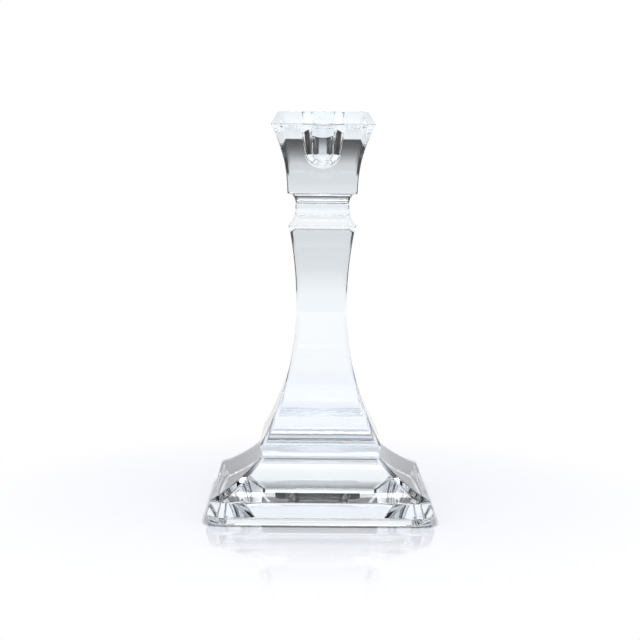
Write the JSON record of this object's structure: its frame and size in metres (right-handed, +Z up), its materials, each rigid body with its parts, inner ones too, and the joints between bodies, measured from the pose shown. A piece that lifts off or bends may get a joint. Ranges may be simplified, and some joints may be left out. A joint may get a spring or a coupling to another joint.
{
  "type": "candlestick",
  "caption": "Square clear-glass candlestick: flared bevelled cup with a round taper-candle socket, waisted shaft and sloping square foot.",
  "frame": {"origin": "centre of the resting face, on the table", "axes": "+Z up the axis to the candle socket's mouth; the flat sides face +X, -X, +Y and -Y"},
  "size_m": [0.1118, 0.1118, 0.2],
  "materials": {
    "clear_glass": "fire-polished clear"
  },
  "bodies": {
    "root": {"candle_cup": "clear_glass", "cup_merese": "clear_glass", "stem": "clear_glass", "foot_collar": "clear_glass", "foot": "clear_glass"}
  },
  "joints": []
}
